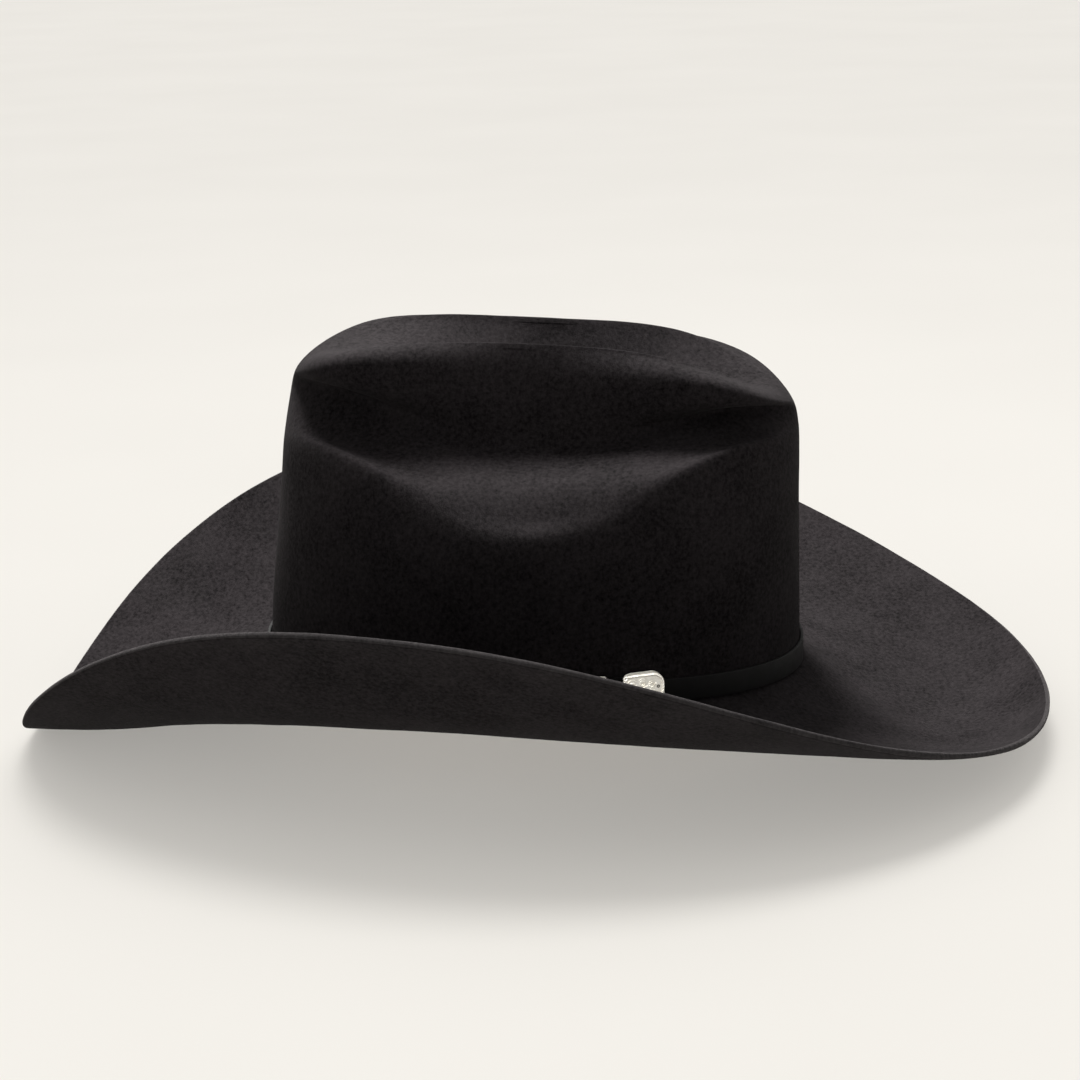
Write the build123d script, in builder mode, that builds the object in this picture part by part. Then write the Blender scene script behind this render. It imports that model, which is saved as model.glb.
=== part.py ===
"""Western hat of blocked fur felt: one felt body, a narrow band with a three-piece buckle set,
a leather sweatband with its reed and tape, and a satin lining. Millimetres, +Z up.
The hat stands on the front and rear of its brim; the front is -Y and the wearer's left is +X."""

from build123d import *
import math
import os
import numpy as np

os.makedirs("parts", exist_ok=True)

# ---------------------------------------------------------------- driving dimensions
FELT = 2.4                                  # felt thickness
FOOT_HALF_LENGTH = 104.0                    # outside of the crown's foot, an ellipse
FOOT_HALF_WIDTH = 86.3
FOOT_HEIGHTS = (25.8, 29.5, 34.2, 32.8, 30.4)   # break line above the floor, rear to front
CENTRE_Y = 0.0                              # crown centre, where the brim is centred on Y too

BRIM_WIDTH = 101.3                          # along the felt, four inches
BRIM_WIDER_AT_ENDS = 1.9
# slope of the brim in degrees, every 30 degrees from rear to front
BRIM_SLOPE_FOOT = (-35, -29, -24, -22, -28, -42, -48)
BRIM_SLOPE_MIDDLE = (-11, -1, 19, 39, 41, 15, -13)
BRIM_SLOPE_EDGE = (44, 19, 29, 41, 42, 26, 4)

# rings of the crown from its foot to the bottom of the centre crease:
# half width, waist, rear reach, front reach, heights every 45 degrees from rear to front
CROWN = [
    (FOOT_HALF_WIDTH, 0.00, FOOT_HALF_LENGTH, FOOT_HALF_LENGTH, FOOT_HEIGHTS),
    (85.8, 0.00, 103.7, 101.8, (60, 60, 60, 60, 60)),
    (83.3, 0.00, 103.8, 97.8, (92, 92, 90, 92, 92)),
    (75.8, 0.00, 103.7, 95.5, (113.5, 117, 100, 119, 113)),
    (63.0, 0.00, 103.4, 93.5, (119.5, 120.5, 110, 122, 126)),
    (41.8, -0.05, 102.6, 91.5, (125, 129.5, 117, 136, 137)),
    (36.7, 0.19, 100.3, 88.9, (129.5, 133.5, 129.8, 141.5, 143.5)),
    (32.8, 0.27, 96.5, 84.5, (132.3, 143.5, 145.7, 153, 148)),
    (28.2, 0.22, 92.0, 78.6, (133.6, 146.5, 155, 156.2, 150)),
    (25.3, 0.21, 87.0, 70.9, (134, 146.5, 153, 155, 150.8)),
    (14.0, 0.10, 79.5, 62.0, (134, 136.5, 139, 147.5, 150.8)),
    (0.0, 0.00, 70.0, 52.0, (134.3, 132, 130, 139, 149)),
]
CREASE_LEVEL = len(CROWN) - 1

BAND_THICK, BAND_TALL = 1.2, 8.7
BAND_GAP = 0.15                             # between band and crown
BAND_RISE = 0.6                             # band's lower edge above the break line

BUCKLE_Y, KEEPER_Y, TIP_Y = 16.0, 31.0, 45.6    # places along the left side of the band
STRAP_HEIGHT = 39.7                         # middle of the level strap end, above the floor
BILLET_THICK, BILLET_TALL = 1.1, 8.4
BAR_RADIUS = 0.6
BAR_X, BAR_OUT = 6.3, 2.5                   # bar from the buckle's centre, and out from the crown

LEATHER, LEATHER_INSET = 1.0, 3.3           # sweatband, and its distance in from the crown's outside
LEATHER_TOP_LEVEL = 1.6
REED_RADIUS, REED_INSET, REED_RISE = 0.95, 4.0, -0.7
LINING, LINING_INSET = 0.3, 2.75
LINING_SEAM_LEVEL = 2.0
LEAN = 0.35                                 # how much further in they stand at each level up

ROUND_STEPS = 24                            # stations round half of the hat
TURN = np.linspace(0, math.pi, ROUND_STEPS + 1)     # 0 at the rear, pi at the front


# ---------------------------------------------------------------- shape of the felt
def around(values, turn):
    """Smooth value round the hat, from values at equal steps from rear to front."""
    last = len(values) - 1
    ends = [0.5 if k in (0, last) else 1.0 for k in range(last + 1)]
    total = 0
    for k in range(last + 1):
        wave = sum(
            e * v * math.cos(k * j * math.pi / last) for j, (e, v) in enumerate(zip(ends, values))
        )
        total = total + ends[k] * wave * 2 / last * np.cos(k * turn)
    return total


def through(rows, level):
    """Natural cubic spline through equally spaced rows of numbers."""
    rows = np.array(rows, float)
    count = len(rows)
    system = 4 * np.eye(count) + np.eye(count, k=1) + np.eye(count, k=-1)
    system[0], system[-1] = np.eye(count)[0], np.eye(count)[-1]
    load = np.zeros_like(rows)
    load[1:-1] = 6 * (rows[2:] - 2 * rows[1:-1] + rows[:-2])
    bend = np.linalg.solve(system, load)
    low = min(int(level), count - 2)
    part = level - low
    line = rows[low] * (1 - part) + rows[low + 1] * part
    return line + ((part**3 - part) * bend[low + 1] + ((1 - part) ** 3 - (1 - part)) * bend[low]) / 6


def crown_ring(level):
    """Half ring of points on the outside of the crown, 0 at its foot."""
    rows = [
        (width / (1 - waist), width * waist / (1 - waist), rear, front, *heights)
        for width, waist, rear, front, heights in CROWN
    ]
    wide, pinch, rear, front, *heights = through(rows, level)
    x = wide * np.sin(TURN) + pinch * np.sin(3 * TURN)
    y = CENTRE_Y + (rear - front) / 2 + (rear + front) / 2 * np.cos(TURN)
    return centred(np.stack([x, y, around(heights, TURN)], 1))


def centred(row):
    """The row with its two ends set exactly on the centre plane."""
    row = np.array(row, float)
    row[0, 0] = row[-1, 0] = 0
    return row


def with_mirror(grid, axis):
    """The grid with one mirrored neighbour added at each end of an axis."""
    flip = grid * (-1, 1, 1)
    before, after = np.take(flip, [1], axis), np.take(flip, [-2], axis)
    return np.concatenate([before, grid, after], axis)


def crown_inside(levels):
    """Half rings on the inside of the crown, one felt thickness in."""
    grid = np.array([crown_ring(level) for level in levels])
    along = np.gradient(with_mirror(grid, 1), axis=1)[:, 1:-1]
    up = np.gradient(with_mirror(grid, 0)[1:], axis=0)[:-1]
    normal = np.cross(along, up)
    normal[-1, 0], normal[-1, -1] = normal[-1, 1], normal[-1, -2]
    normal /= np.linalg.norm(normal, axis=2, keepdims=True)
    outward = np.sign(np.sum(normal[0] * (1, 1, 0) * grid[0], axis=1).mean())
    return [centred(row) for row in grid - outward * FELT * normal]


def plan_normal(row):
    """Outward horizontal normals of a half ring."""
    along = np.gradient(with_mirror(row, 0), axis=0)[1:-1]
    normal = np.stack([along[:, 1], -along[:, 0], 0 * along[:, 0]], 1)
    normal /= np.linalg.norm(normal, axis=1, keepdims=True)
    return -normal


def inset(row, distance, rise=0.0):
    """A half ring moved in towards the head by a distance, and up."""
    return centred(row - distance * plan_normal(row) + (0, 0, rise))


def brim_rings(shares, below=0.0):
    """Half rings of the brim at these shares of its width, on its top or a distance below it."""
    foot = crown_ring(0)
    out = np.stack([np.sin(TURN) / FOOT_HALF_WIDTH, np.cos(TURN) / FOOT_HALF_LENGTH, 0 * TURN], 1)
    out /= np.linalg.norm(out, axis=1, keepdims=True)
    width = BRIM_WIDTH + BRIM_WIDER_AT_ENDS * np.cos(2 * TURN)
    start, middle, edge = (
        np.radians(around(s, TURN)) for s in (BRIM_SLOPE_FOOT, BRIM_SLOPE_MIDDLE, BRIM_SLOPE_EDGE)
    )
    rows, place, steps = {}, foot.copy(), 40
    for step in range(steps + 1):
        share = step / steps
        slope = (
            start * (1 - share) * (1 - 2 * share)
            + middle * 4 * share * (1 - share)
            + edge * share * (2 * share - 1)
        )[:, None]
        across = out * np.cos(slope) + (0, 0, 1) * np.sin(slope)
        normal = -out * np.sin(slope) + (0, 0, 1) * np.cos(slope)
        if step:
            place = place + (across + last) / 2 * width[:, None] / steps
        rows[step] = centred(place - below * normal)
        last = across
    return [rows[round(share * steps)] for share in shares]


def inner_foot():
    """Inside corner between crown and brim, one felt thickness from both."""
    slope = np.radians(around(BRIM_SLOPE_FOOT, TURN))
    drop = -FELT * (1 + np.sin(slope)) / np.cos(slope)
    row = inset(crown_ring(0), FELT)
    row[:, 2] += drop
    return row


# ---------------------------------------------------------------- solids from rows of points
def half_curve(row):
    """Spline through a half ring, square to the centre plane at both ends."""
    points = [tuple(point) for point in row]
    if abs(row[:, 0]).max() < 1e-9:
        return Edge.make_spline(points)
    return Edge.make_spline(points, tangents=[(1, 0, 0), (-1, 0, 0)], scale=False)


def ring_solid(rows):
    """Solid whose half rings follow each other round its section, mirrored to the right side."""
    curves = [half_curve(row) for row in rows]
    left = [Face.make_surface_from_curves(a, b) for a, b in zip(curves, curves[1:])]
    right = [face.mirror(Plane.YZ) for face in left]
    return outward(Solid(Shell(left + right)))


def outward(solid):
    """The solid with its faces turned outwards."""
    return Solid(solid.wrapped.Reversed()) if solid.volume < 0 else solid


def closed(rows):
    return rows + [rows[0]]


def bent_bar(corners):
    """Solid between four long splines, with flat ends."""
    curves = [Edge.make_spline(line) for line in corners]
    sides = [Face.make_surface_from_curves(a, b) for a, b in zip(curves, curves[1:] + curves[:1])]
    caps = [
        Face(Wire.make_polygon([line[end] for line in corners], close=True)) for end in (0, -1)
    ]
    return outward(Solid(Shell(sides + caps)))


def save(part, name):
    part.label = name
    export_step(part, f"parts/{name}.step")


# ---------------------------------------------------------------- felt body
with BuildPart() as felt_body:
    outside = [crown_ring(level) for level in np.linspace(CREASE_LEVEL, 0, 34)]
    inside_levels = np.linspace(0, CREASE_LEVEL, 23)[1:]
    add(
        ring_solid(
            outside
            + brim_rings(np.linspace(0, 1, 11))[1:]
            + brim_rings(np.linspace(1, 0.1, 10), FELT)
            + [inner_foot()]
            + crown_inside(np.concatenate([[0], inside_levels]))[1:]
        )
    )
save(felt_body.part, "felt_body")


# ---------------------------------------------------------------- band and its tacks
foot = crown_ring(0)
with BuildPart() as hat_band:
    band_low, band_high = BAND_RISE, BAND_RISE + BAND_TALL
    band_in, band_out = -BAND_GAP, -BAND_GAP - BAND_THICK
    corners = [(band_in, band_low), (band_in, band_high), (band_out, band_high), (band_out, band_low)]
    add(ring_solid(closed([inset(foot, distance, rise) for distance, rise in corners])))
save(hat_band.part, "hat_band")


def strap_plane(y):
    """Plane on the crown's left side: x runs to the rear along the band, y up, z outwards."""
    turn = math.acos(y / FOOT_HALF_LENGTH)
    x = FOOT_HALF_WIDTH * math.sin(turn)
    normal = Vector(x / FOOT_HALF_WIDTH**2, y / FOOT_HALF_LENGTH**2, 0).normalized()
    return Plane((x, y + CENTRE_Y, STRAP_HEIGHT), x_dir=(-normal.Y, normal.X, 0), z_dir=normal)


TACK_TURNS = (60, 128, 180 + 52, 180 + 120)
with BuildPart() as band_tacks:
    for angle in TACK_TURNS:
        turn = math.radians(angle)
        x, y = FOOT_HALF_WIDTH * math.sin(turn), FOOT_HALF_LENGTH * math.cos(turn)
        normal = Vector(x / FOOT_HALF_WIDTH**2, y / FOOT_HALF_LENGTH**2, 0).normalized()
        height = float(around(FOOT_HEIGHTS, turn)) + BAND_RISE + BAND_TALL - 1.2
        spot = Vector(x, y + CENTRE_Y, height) + normal * (BAND_GAP + BAND_THICK)
        with BuildSketch(Plane(spot, x_dir=(-normal.Y, normal.X, 0), z_dir=normal)):
            SlotOverall(3.0, 0.6)
        extrude(amount=0.3)
save(band_tacks.part, "band_tacks")


# ---------------------------------------------------------------- buckle set
buckle = strap_plane(BUCKLE_Y)
buckle_side = Plane(buckle.origin, x_dir=buckle.x_dir, z_dir=-buckle.y_dir)     # x and out
BUCKLE_LONG, BUCKLE_TALL = 16.4, 12.6
WINDOW_TALL = 9.2
NOSE = 3.0                                  # width of the buckle's front bar
FRAME_LOW, FRAME_MIDDLE, FRAME_TOP = 1.65, 3.2, 4.7

with BuildPart() as buckle_frame:
    with BuildSketch(buckle.offset(FRAME_MIDDLE)):
        RectangleRounded(BUCKLE_LONG, BUCKLE_TALL, 3.2)
        with Locations((NOSE, 0)):
            Rectangle(BUCKLE_LONG, WINDOW_TALL, mode=Mode.SUBTRACT)
    extrude(amount=FRAME_TOP - FRAME_MIDDLE)
    rim = buckle_frame.faces().sort_by(Axis(buckle.origin, buckle.z_dir))[-1]
    fillet(rim.outer_wire().edges().filter_by(lambda edge: edge.length > 4), 0.35)
    with BuildSketch(buckle.offset(FRAME_LOW)):
        lug_tall = (BUCKLE_TALL - WINDOW_TALL) / 2
        with Locations(*[(BAR_X - 0.3, side * (BUCKLE_TALL - lug_tall) / 2) for side in (-1, 1)]):
            Rectangle(2.6, lug_tall - 0.5)
    extrude(amount=FRAME_MIDDLE - FRAME_LOW)
    with BuildSketch(buckle_side.offset(-BUCKLE_TALL / 2)):
        with Locations((BAR_X, BAR_OUT)):
            Circle(BAR_RADIUS)
    extrude(amount=BUCKLE_TALL, mode=Mode.SUBTRACT)
save(buckle_frame.part, "buckle_frame")

BAR_LONG = BUCKLE_TALL - 1.0
with BuildPart() as buckle_bar:
    with BuildSketch(buckle_side.offset(-BAR_LONG / 2)):
        with Locations((BAR_X, BAR_OUT)):
            Circle(BAR_RADIUS)
    extrude(amount=BAR_LONG)
save(buckle_bar.part, "buckle_bar")

PRONG_WIDE, PRONG_THICK = 1.5, 0.75
PRONG_LOOP, PRONG_CLEARANCE = 1.05, 0.05
PRONG_LINE = [(BAR_X, 3.1), (3.2, 4.8), (-3.5, 5.4), (-8.2, 5.35)]      # middle line, to the point
with BuildPart() as buckle_prong:
    with BuildSketch(buckle_side.offset(-PRONG_WIDE / 2)):
        with BuildLine():
            top = [(x, out + PRONG_THICK / 2) for x, out in PRONG_LINE]
            under = [(x, out - PRONG_THICK / 2) for x, out in PRONG_LINE]
            Polyline(*top, *reversed(under), close=True)
        make_face()
        with Locations((BAR_X, BAR_OUT)):
            Circle(PRONG_LOOP)
            Circle(BAR_RADIUS + PRONG_CLEARANCE, mode=Mode.SUBTRACT)
    extrude(amount=PRONG_WIDE)
save(buckle_prong.part, "buckle_prong")

TACK_RADIUS = 0.25
with BuildPart() as buckle_tacks:
    for side in (-1, 1):
        with BuildSketch(buckle_side.offset(side * 3.1 - TACK_RADIUS)):
            with Locations((BAR_X, BAR_OUT)):
                Circle(BAR_RADIUS + 0.05 + 2 * TACK_RADIUS)
                Circle(BAR_RADIUS + 0.05, mode=Mode.SUBTRACT)
        extrude(amount=2 * TACK_RADIUS)
save(buckle_tacks.part, "buckle_tacks")

# strap end: under the buckle's nose, over its bar, through the keeper and into the tip
BILLET_OUT = [(5.5, 1.65), (11, 1.7), (17, 2.5), (22.5, 3.8), (26, 3.3), (30, 3.0), (34, 2.95)]
BILLET_OUT += [(38, 2.7), (TIP_Y - 4, 2.6), (TIP_Y, 2.65), (TIP_Y + 4, 2.65)]


def billet_corner(extra_out, extra_rise):
    """Long edge of the strap end, out from the crown by the table and an extra."""
    line = []
    for y, out in BILLET_OUT:
        plane = strap_plane(y)
        line.append(tuple(plane.from_local_coords((0, extra_rise, out + extra_out))))
    return line


SLOT_LONG, SLOT_TALL = 8.4, 2.3
with BuildPart() as band_billet:
    half = BILLET_TALL / 2
    add(
        bent_bar(
            [
                billet_corner(0, -half),
                billet_corner(0, half),
                billet_corner(BILLET_THICK, half),
                billet_corner(BILLET_THICK, -half),
            ]
        )
    )
    with BuildSketch(buckle):
        with Locations((3.8, 0)):
            SlotOverall(SLOT_LONG, SLOT_TALL)
    extrude(amount=8, mode=Mode.SUBTRACT)
save(band_billet.part, "band_billet")

KEEPER_LONG, KEEPER_WALL, KEEPER_CLEAR = 4.0, 0.6, 0.3
keeper = strap_plane(KEEPER_Y)
keeper_section = Plane(keeper.origin, x_dir=keeper.y_dir, z_dir=keeper.x_dir)   # up and out
KEEPER_OUT = 3.0 + BILLET_THICK / 2
with BuildPart() as strap_keeper:
    with BuildSketch(keeper_section.offset(-KEEPER_LONG / 2)):
        with Locations((0, KEEPER_OUT)):
            window = (BILLET_TALL + 2 * KEEPER_CLEAR, BILLET_THICK + 2 * KEEPER_CLEAR)
            RectangleRounded(window[0] + 2 * KEEPER_WALL, window[1] + 2 * KEEPER_WALL, 0.7)
            Rectangle(*window, mode=Mode.SUBTRACT)
    extrude(amount=KEEPER_LONG)
save(strap_keeper.part, "strap_keeper")

TIP_LONG, TIP_TALL = 16.0, 10.4
TIP_LOW, TIP_TOP = 1.75, 4.7
tip = strap_plane(TIP_Y)
with BuildPart() as strap_tip:
    with BuildSketch(tip.offset(TIP_LOW)) as outline:
        Rectangle(TIP_LONG, TIP_TALL)
        corners = outline.vertices().sort_by(Axis(tip.origin, tip.x_dir))
        fillet(corners[2:], 4.4)
        fillet(corners[:2], 0.9)
    extrude(amount=TIP_TOP - TIP_LOW)
    fillet(strap_tip.faces().sort_by(Axis(tip.origin, tip.z_dir))[-1].edges(), 0.45)
    with BuildSketch(tip.offset(2.3)):
        with Locations((-TIP_LONG / 2, 0)):
            Rectangle(2 * (TIP_LONG / 2 + 4.8), BILLET_TALL + 0.3)
    extrude(amount=1.6, mode=Mode.SUBTRACT)
    with BuildSketch(tip.offset(TIP_LOW)):
        pin_spots = [(2.4, -2.4), (2.4, 2.4)]
        with Locations(*pin_spots):
            Circle(0.4)
    extrude(amount=TIP_TOP - TIP_LOW, mode=Mode.SUBTRACT)
save(strap_tip.part, "strap_tip")

with BuildPart() as strap_tip_pins:
    with BuildSketch(tip.offset(TIP_LOW)):
        with Locations(*pin_spots):
            Circle(0.4)
    extrude(amount=TIP_TOP - TIP_LOW)
save(strap_tip_pins.part, "strap_tip_pins")


# ---------------------------------------------------------------- sweatband
def inner_ring(level, distance):
    """Half ring of leather or lining, which lean in a little more than the wall does."""
    return inset(crown_ring(level), distance + LEAN * level)


LEATHER_LOW_RISE = 0.75
SEAM_GAP = 0.6                              # where the leather's two ends meet at the rear
levels = np.linspace(0.25, LEATHER_TOP_LEVEL, 5)
with BuildPart() as sweatband:
    low_out = inset(foot, LEATHER_INSET, LEATHER_LOW_RISE)
    low_in = inset(foot, LEATHER_INSET + LEATHER, LEATHER_LOW_RISE)
    rising = [inner_ring(level, LEATHER_INSET) for level in levels]
    falling = [inner_ring(level, LEATHER_INSET + LEATHER) for level in reversed(levels)]
    add(ring_solid(closed([low_out, *rising, *falling, low_in])))
    with Locations((0, CENTRE_Y + FOOT_HALF_LENGTH - LEATHER_INSET, 60)):
        Box(SEAM_GAP, 8, 90, mode=Mode.SUBTRACT)
save(sweatband.part, "sweatband")

REED_SIDES = 8
with BuildPart() as sweatband_reed:
    rows = []
    for side in range(REED_SIDES):
        angle = 2 * math.pi * side / REED_SIDES
        rows.append(
            inset(foot, REED_INSET + REED_RADIUS * math.sin(angle), REED_RISE + REED_RADIUS * math.cos(angle))
        )
    add(ring_solid(closed(rows)))
save(sweatband_reed.part, "sweatband_reed")

# tape: round the reed, then up behind the leather
TAPE, TAPE_TALL, TAPE_LEG_INSET = 0.35, 2.8, 2.65
with BuildPart() as reed_tape:
    bead, hollow = REED_RADIUS + 0.05 + TAPE, REED_RADIUS + 0.05
    outer_turns = np.radians(np.linspace(-60, -315, 8))
    inner_turns = np.radians(np.linspace(-315, -45, 8))
    section = [(TAPE_LEG_INSET, TAPE_TALL), (TAPE_LEG_INSET, REED_RISE + bead * math.cos(outer_turns[0]) + 0.6)]
    section += [(REED_INSET + bead * math.sin(a), REED_RISE + bead * math.cos(a)) for a in outer_turns]
    section += [(REED_INSET + hollow * math.sin(a), REED_RISE + hollow * math.cos(a)) for a in inner_turns]
    section += [(TAPE_LEG_INSET + 0.5, REED_RISE + hollow + 0.5), (TAPE_LEG_INSET + 0.5, TAPE_TALL)]
    add(ring_solid(closed([inset(foot, distance, rise) for distance, rise in section])))
save(reed_tape.part, "reed_tape")

THREAD = 0.3
with BuildPart() as sweatband_stitches:
    thread_inset = LEATHER_INSET + LEATHER + THREAD + 0.45
    rows = []
    for side in range(6):
        angle = math.pi * side / 3
        rows.append(inset(foot, thread_inset + THREAD * math.sin(angle), 3.4 + THREAD * math.cos(angle)))
    add(ring_solid(closed(rows)))
save(sweatband_stitches.part, "sweatband_stitches")

REAR_INSIDE_Y = CENTRE_Y + FOOT_HALF_LENGTH - LEATHER_INSET - LEATHER
SEAM_STITCHES, SEAM_PITCH, SEAM_LOW = 8, 5.0, 37.5
with BuildPart() as sweatband_back_seam:
    for stitch in range(SEAM_STITCHES):
        height = SEAM_LOW + SEAM_PITCH * stitch
        depth = REAR_INSIDE_Y - 0.55 - 0.03 * (height - FOOT_HEIGHTS[0])
        with Locations((0, depth, height)):
            Box(4.6, 0.5, 0.6)
save(sweatband_back_seam.part, "sweatband_back_seam")

BOW_HEIGHT = FOOT_HEIGHTS[0] + 6.5
with BuildPart() as sweatband_bow:
    bow_plane = Plane((0, REAR_INSIDE_Y - 1.4, BOW_HEIGHT), x_dir=(1, 0, 0), z_dir=(0, -1, 0))
    with BuildSketch(bow_plane):
        with Locations((-5.2, 0.6), (5.2, 0.6)):
            Ellipse(4.6, 2.4)
        Rectangle(3.2, 3.6)
        with Locations(Location((-3.6, -3.4), 35), Location((3.6, -3.4), -35)):
            Rectangle(2.2, 6.2)
    extrude(amount=1.6)
save(sweatband_bow.part, "sweatband_bow")

# blank size label on the leather, rear of the wearer's right side
LABEL_TURN = math.radians(-28)
label_x = (FOOT_HALF_WIDTH - LEATHER_INSET - LEATHER) * math.sin(LABEL_TURN)
label_y = (FOOT_HALF_LENGTH - LEATHER_INSET - LEATHER) * math.cos(LABEL_TURN)
label_in = Vector(-label_x / 82**2, -label_y / 100**2, 0).normalized()
label_spot = Vector(label_x, label_y + CENTRE_Y, 56) + label_in * 2.1
with BuildPart() as size_label:
    with BuildSketch(Plane(label_spot, x_dir=(label_in.Y, -label_in.X, 0), z_dir=label_in)):
        RectangleRounded(16, 11, 1.2)
    extrude(amount=0.4)
save(size_label.part, "size_label")


# ---------------------------------------------------------------- lining
side_levels = np.linspace(1.05, LINING_SEAM_LEVEL, 6)
with BuildPart() as lining_side:
    outer_rows = [inner_ring(level, LINING_INSET) for level in side_levels]
    inner_rows = [inner_ring(level, LINING_INSET + LINING) for level in reversed(side_levels)]
    add(ring_solid(closed(outer_rows + inner_rows)))
save(lining_side.part, "lining_side")


def cap_ring(half_width, rear, front, heights, drop=0.0):
    """Half ring of the lining's top."""
    x = half_width * np.sin(TURN)
    y = CENTRE_Y + (rear - front) / 2 + (rear + front) / 2 * np.cos(TURN)
    return centred(np.stack([x, y, around(heights, TURN) - drop], 1))


CAP = [
    (66.0, 86, 80, (105.5, 106, 99.5, 107, 108)),
    (50.0, 66, 62, (110.5, 110, 104.2, 112, 114)),
    (27.0, 44, 42, (112, 111, 107.5, 114, 117)),
    (0.0, 26, 25, (112.5, 112, 111, 113, 115)),
]


def cap_solid(rows, thick, drop):
    """Thin domed sheet through the rows, from its rim to the middle line."""
    upper = [cap_ring(*row, drop) for row in rows]
    lower = [cap_ring(*row, drop + thick) for row in reversed(rows)]
    return upper, lower


with BuildPart() as lining_tip:
    upper, lower = cap_solid(CAP, LINING, 0)
    rim = inner_ring(LINING_SEAM_LEVEL + 0.02, LINING_INSET)
    rim_low = inner_ring(LINING_SEAM_LEVEL + 0.02, LINING_INSET + 2 * LINING)
    add(ring_solid(list(reversed(upper)) + [rim, rim_low] + list(reversed(lower))))
save(lining_tip.part, "lining_tip")

CORD_RADIUS = 0.7
with BuildPart() as lining_cord:
    rows = []
    for side in range(6):
        angle = math.pi * side / 3
        distance = LINING_INSET + 2 * LINING + 0.1 + CORD_RADIUS * (1 + math.sin(angle))
        rise = CORD_RADIUS * math.cos(angle) - 0.9
        rows.append(inner_ring(LINING_SEAM_LEVEL, distance) + (0, 0, rise))
    add(ring_solid(closed(rows)))
save(lining_cord.part, "lining_cord")

PROTECTOR, PROTECTOR_DROP = 0.3, 0.7
with BuildPart() as tip_protector:
    upper, lower = cap_solid(CAP[1:], PROTECTOR, PROTECTOR_DROP)
    add(ring_solid(list(reversed(upper)) + list(reversed(lower))))
save(tip_protector.part, "tip_protector")

for solid in (felt_body.part, hat_band.part, strap_tip.part, sweatband.part, lining_tip.part):
    print(solid.label, round(solid.volume), solid.bounding_box())
print("prong axis at", buckle.from_local_coords((BAR_X, 0, BAR_OUT)), buckle.y_dir)
print("keeper slide along", keeper.x_dir)
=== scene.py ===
"""Looks of the felt western hat: napped felt, smooth band, silver buckle set, leather and satin inside."""

import math

import bmesh
import bpy
import numpy as np
from mathutils import Matrix, Vector, noise


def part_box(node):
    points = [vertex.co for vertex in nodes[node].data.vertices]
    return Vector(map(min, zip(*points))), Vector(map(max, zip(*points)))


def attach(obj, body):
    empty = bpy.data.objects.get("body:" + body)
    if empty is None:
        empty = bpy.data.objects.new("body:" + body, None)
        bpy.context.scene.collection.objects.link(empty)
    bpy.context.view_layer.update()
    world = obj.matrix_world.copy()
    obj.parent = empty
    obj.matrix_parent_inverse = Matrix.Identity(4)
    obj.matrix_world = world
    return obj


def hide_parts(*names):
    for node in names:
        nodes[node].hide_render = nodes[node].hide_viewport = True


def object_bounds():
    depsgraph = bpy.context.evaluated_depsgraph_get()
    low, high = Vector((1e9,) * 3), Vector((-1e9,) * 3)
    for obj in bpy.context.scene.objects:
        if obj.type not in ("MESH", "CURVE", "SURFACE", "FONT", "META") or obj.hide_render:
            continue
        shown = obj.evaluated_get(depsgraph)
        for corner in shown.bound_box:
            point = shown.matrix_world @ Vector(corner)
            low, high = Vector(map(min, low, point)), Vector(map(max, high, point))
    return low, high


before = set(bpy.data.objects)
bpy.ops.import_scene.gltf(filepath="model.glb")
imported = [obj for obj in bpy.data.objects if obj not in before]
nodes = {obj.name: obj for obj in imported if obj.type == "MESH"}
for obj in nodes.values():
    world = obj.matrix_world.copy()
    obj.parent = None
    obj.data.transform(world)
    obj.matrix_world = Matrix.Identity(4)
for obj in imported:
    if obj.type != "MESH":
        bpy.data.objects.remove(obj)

cad_box = [list(corner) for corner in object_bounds()]
MM = 0.001

# ---------------------------------------------------------------- the part's own dimensions, mm
FELT = 2.4
FOOT_HALF_LENGTH, FOOT_HALF_WIDTH = 104.0, 86.3
FOOT_HEIGHTS = (25.8, 29.5, 34.2, 32.8, 30.4)
BRIM_WIDTH, BRIM_WIDER_AT_ENDS = 101.3, 1.9
BRIM_SLOPE_FOOT = (-35, -29, -24, -22, -28, -42, -48)
BRIM_SLOPE_MIDDLE = (-11, -1, 19, 39, 41, 15, -13)
BRIM_SLOPE_EDGE = (44, 19, 29, 41, 42, 26, 4)
CROWN = [
    (FOOT_HALF_WIDTH, 0.00, FOOT_HALF_LENGTH, FOOT_HALF_LENGTH, FOOT_HEIGHTS),
    (85.8, 0.00, 103.7, 101.8, (60, 60, 60, 60, 60)),
    (83.3, 0.00, 103.8, 97.8, (92, 92, 90, 92, 92)),
    (75.8, 0.00, 103.7, 95.5, (113.5, 117, 100, 119, 113)),
    (63.0, 0.00, 103.4, 93.5, (119.5, 120.5, 110, 122, 126)),
    (41.8, -0.05, 102.6, 91.5, (125, 129.5, 117, 136, 137)),
    (36.7, 0.19, 100.3, 88.9, (129.5, 133.5, 129.8, 141.5, 143.5)),
    (32.8, 0.27, 96.5, 84.5, (132.3, 143.5, 145.7, 153, 148)),
    (28.2, 0.22, 92.0, 78.6, (133.6, 146.5, 155, 156.2, 150)),
    (25.3, 0.21, 87.0, 70.9, (134, 146.5, 153, 155, 150.8)),
    (14.0, 0.10, 79.5, 62.0, (134, 136.5, 139, 147.5, 150.8)),
    (0.0, 0.00, 70.0, 52.0, (134.3, 132, 130, 139, 149)),
]
CREASE_LEVEL = len(CROWN) - 1
STRAP_HEIGHT = 39.7
TURN = np.linspace(0, math.pi, 121)


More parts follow.
